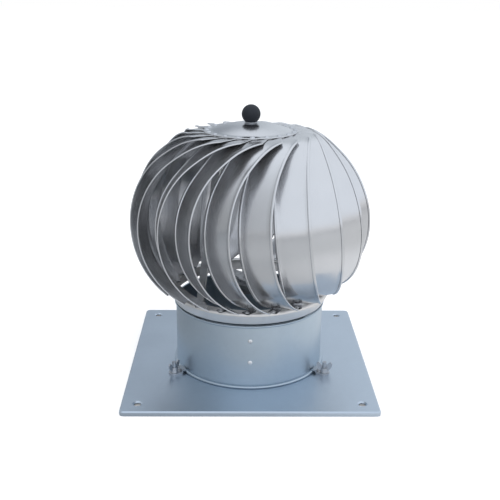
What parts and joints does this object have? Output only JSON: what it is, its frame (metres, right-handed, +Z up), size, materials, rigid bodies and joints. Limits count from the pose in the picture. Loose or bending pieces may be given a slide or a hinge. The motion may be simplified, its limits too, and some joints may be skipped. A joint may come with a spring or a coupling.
{
  "type": "roof turbine ventilator",
  "caption": "Wind-driven roof ventilator: a round head of curved sheet blades spins on a strap frame above a short sleeve and a square base plate.",
  "frame": {"origin": "centre of the base plate's underside, on the spin axis", "axes": "+Z up along the spin axis, +X to the right and +Y away from the viewer of the picture, both parallel to the base plate's sides"},
  "size_m": [0.241, 0.241, 0.2672],
  "materials": {
    "plate_sheet": "zinc-coated sheet, satin, faint rolling grain",
    "sleeve_sheet": "zinc-coated sheet, satin",
    "polished_sheet": "polished stainless sheet, mirror-like along the roll",
    "rivet_metal": "bright blind rivets",
    "frame_strap": "plain steel strap",
    "cast_housing": "turned aluminium, dull",
    "bearing_steel": "ground bearing steel",
    "plated_hardware": "zinc-plated fasteners",
    "black_knob": "moulded black ball, matt"
  },
  "bodies": {
    "base": {"base_plate": "plate_sheet", "spigot": "sleeve_sheet", "sleeve": "sleeve_sheet", "sleeve_rivets": "rivet_metal", "clip_studs": "plated_hardware", "upper_strap": "frame_strap", "lower_strap": "frame_strap", "lower_bar": "frame_strap", "upper_bearing_housing": "cast_housing", "upper_circlip": "bearing_steel", "upper_housing_rivets": "rivet_metal", "lower_bearing_housing": "cast_housing", "lower_circlip": "bearing_steel", "lower_housing_rivets": "rivet_metal", "upper_bearing_outer": "bearing_steel", "lower_bearing_outer": "bearing_steel"},
    "rotor": {"top_disc": "polished_sheet", "lower_ring": "polished_sheet", "top_rivets": "rivet_metal", "ring_rivets": "rivet_metal", "shaft": "bearing_steel", "disc_nut": "plated_hardware", "knob_washer": "plated_hardware", "ball_knob": "black_knob", "upper_bearing_inner": "bearing_steel", "lower_bearing_inner": "bearing_steel", "blade_01": "polished_sheet", "blade_02": "polished_sheet", "blade_03": "polished_sheet", "blade_04": "polished_sheet", "blade_05": "polished_sheet", "blade_06": "polished_sheet", "blade_07": "polished_sheet", "blade_08": "polished_sheet", "blade_09": "polished_sheet", "blade_10": "polished_sheet", "blade_11": "polished_sheet", "blade_12": "polished_sheet", "blade_13": "polished_sheet", "blade_14": "polished_sheet", "blade_15": "polished_sheet", "blade_16": "polished_sheet", "blade_17": "polished_sheet", "blade_18": "polished_sheet", "blade_19": "polished_sheet", "blade_20": "polished_sheet"},
    "clip_1_lug": {"clip_1": "plated_hardware"},
    "clip_1_nut": {"wing_nut_1": "plated_hardware"},
    "clip_2_lug": {"clip_2": "plated_hardware"},
    "clip_2_nut": {"wing_nut_2": "plated_hardware"},
    "clip_3_lug": {"clip_3": "plated_hardware"},
    "clip_3_nut": {"wing_nut_3": "plated_hardware"}
  },
  "joints": [
    {"name": "rotor_spin", "type": "hinge", "parent": "base", "child": "rotor", "pos_m": [0, 0, 0.15], "axis": [0, 0, 1], "continuous": true},
    {"name": "clip_1_swing", "type": "hinge", "parent": "base", "child": "clip_1_lug", "pos_m": [0, 0.087, 0.006], "axis": [0, 0, 1], "range_deg": [-90, 90]},
    {"name": "wing_nut_1_turn", "type": "hinge", "parent": "base", "child": "clip_1_nut", "pos_m": [0, 0.087, 0.01], "axis": [0, 0, 1], "range_deg": [0, 360]},
    {"name": "clip_2_swing", "type": "hinge", "parent": "base", "child": "clip_2_lug", "pos_m": [-0.07534, -0.0435, 0.006], "axis": [0, 0, 1], "range_deg": [-90, 90]},
    {"name": "wing_nut_2_turn", "type": "hinge", "parent": "base", "child": "clip_2_nut", "pos_m": [-0.07534, -0.0435, 0.01], "axis": [0, 0, 1], "range_deg": [0, 360]},
    {"name": "clip_3_swing", "type": "hinge", "parent": "base", "child": "clip_3_lug", "pos_m": [0.07534, -0.0435, 0.006], "axis": [0, 0, 1], "range_deg": [-90, 90]},
    {"name": "wing_nut_3_turn", "type": "hinge", "parent": "base", "child": "clip_3_nut", "pos_m": [0.07534, -0.0435, 0.01], "axis": [0, 0, 1], "range_deg": [0, 360]}
  ]
}
